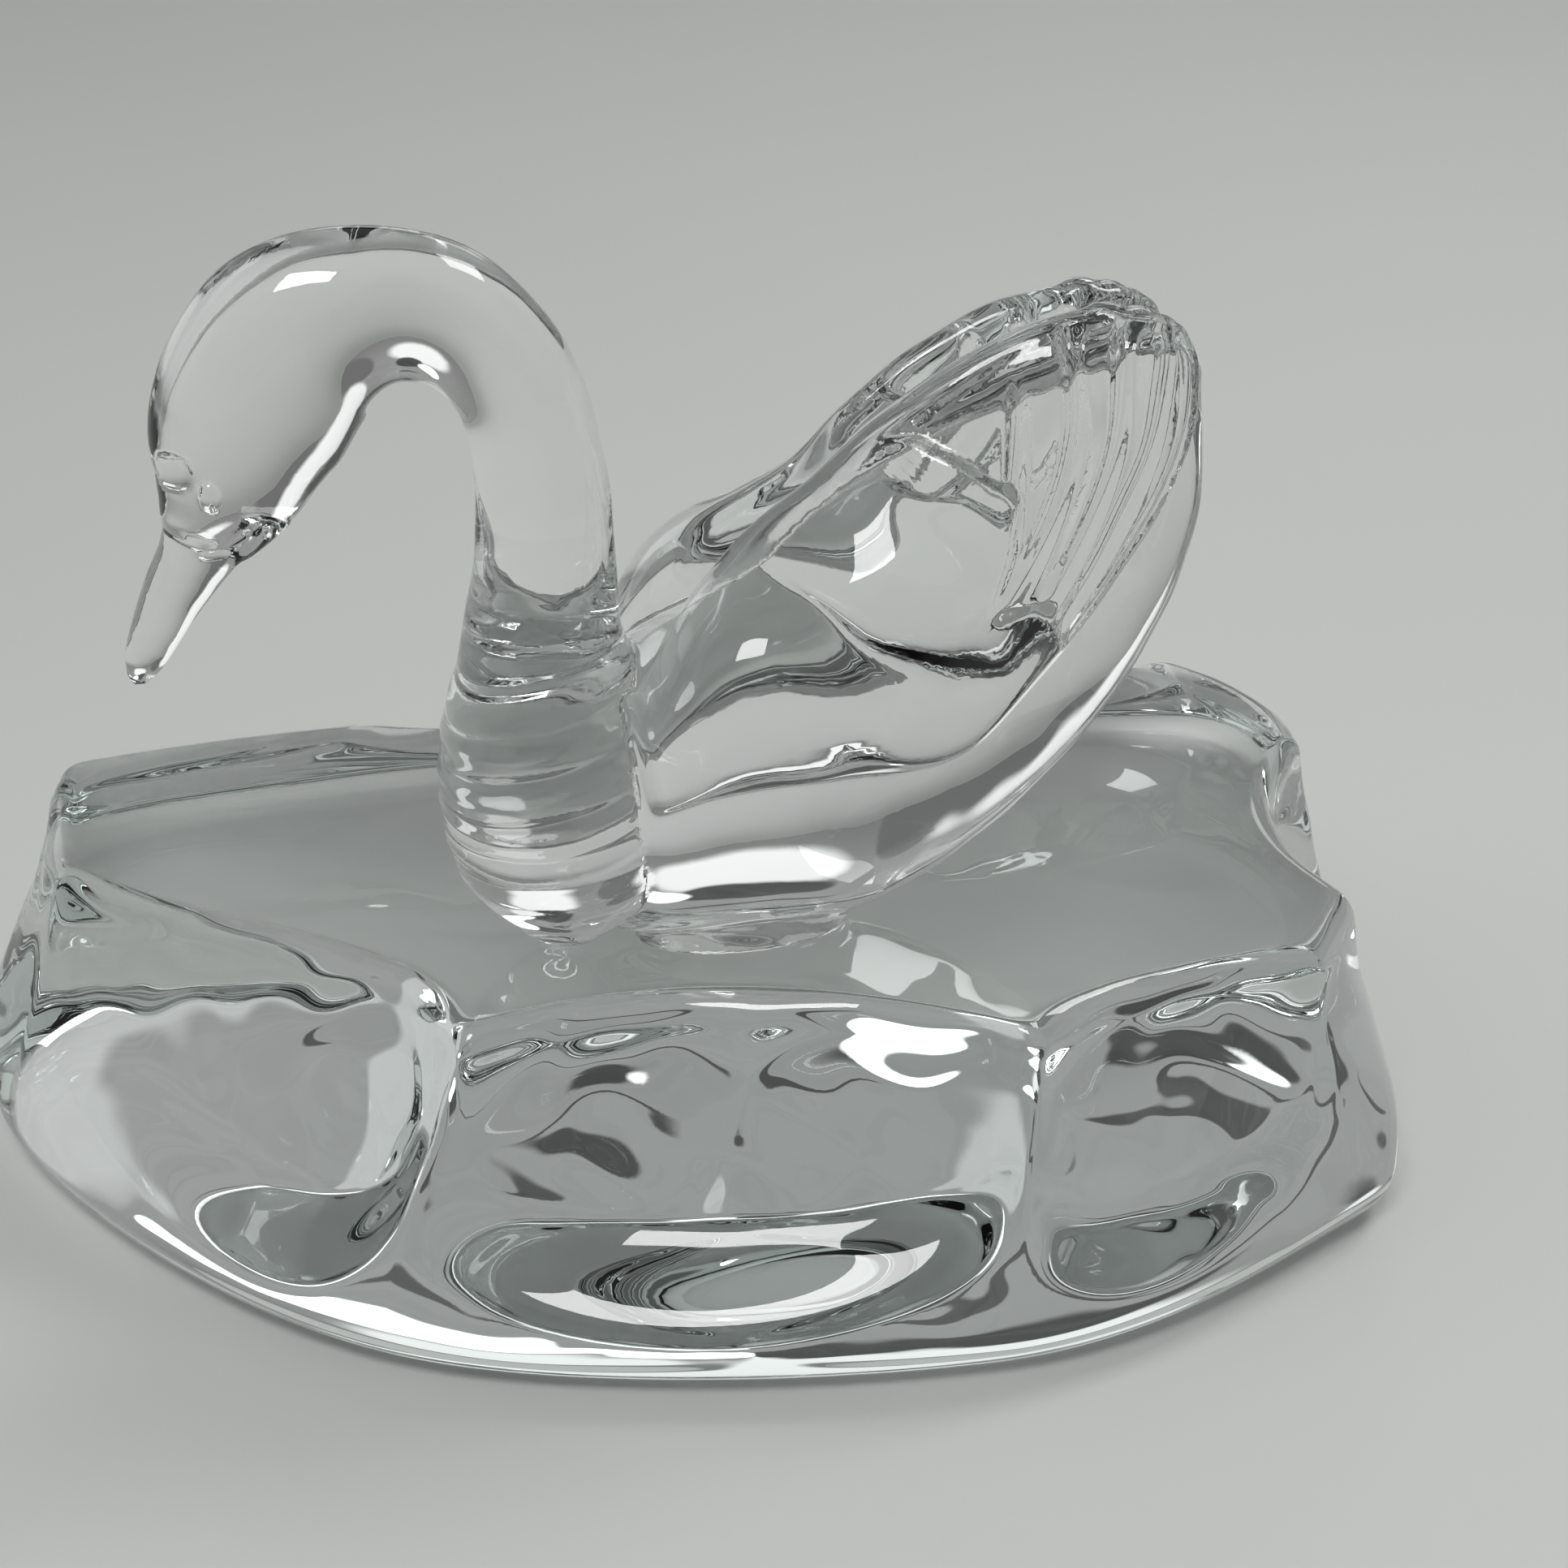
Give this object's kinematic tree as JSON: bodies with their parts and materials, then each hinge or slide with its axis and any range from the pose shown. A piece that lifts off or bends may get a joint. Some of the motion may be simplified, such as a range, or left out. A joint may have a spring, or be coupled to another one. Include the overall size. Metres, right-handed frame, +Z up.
{
  "type": "crystal swan figurine",
  "caption": "Clear crystal swan with an arched neck and raised fluted wings, bonded on a thick scooped block shaped like a slab of ice.",
  "frame": {"origin": "centre of the length and depth of the base, on its flat underside", "axes": "+X along the base towards the swan's tail, -Y towards the viewer, +Z up"},
  "size_m": [0.15, 0.102, 0.1052],
  "materials": {
    "swan_crystal": "clear polished lead crystal",
    "base_crystal": "clear polished lead crystal, faint grey-green in its thickness"
  },
  "bodies": {
    "root": {"swan": "swan_crystal", "ice_base": "base_crystal"}
  },
  "joints": []
}
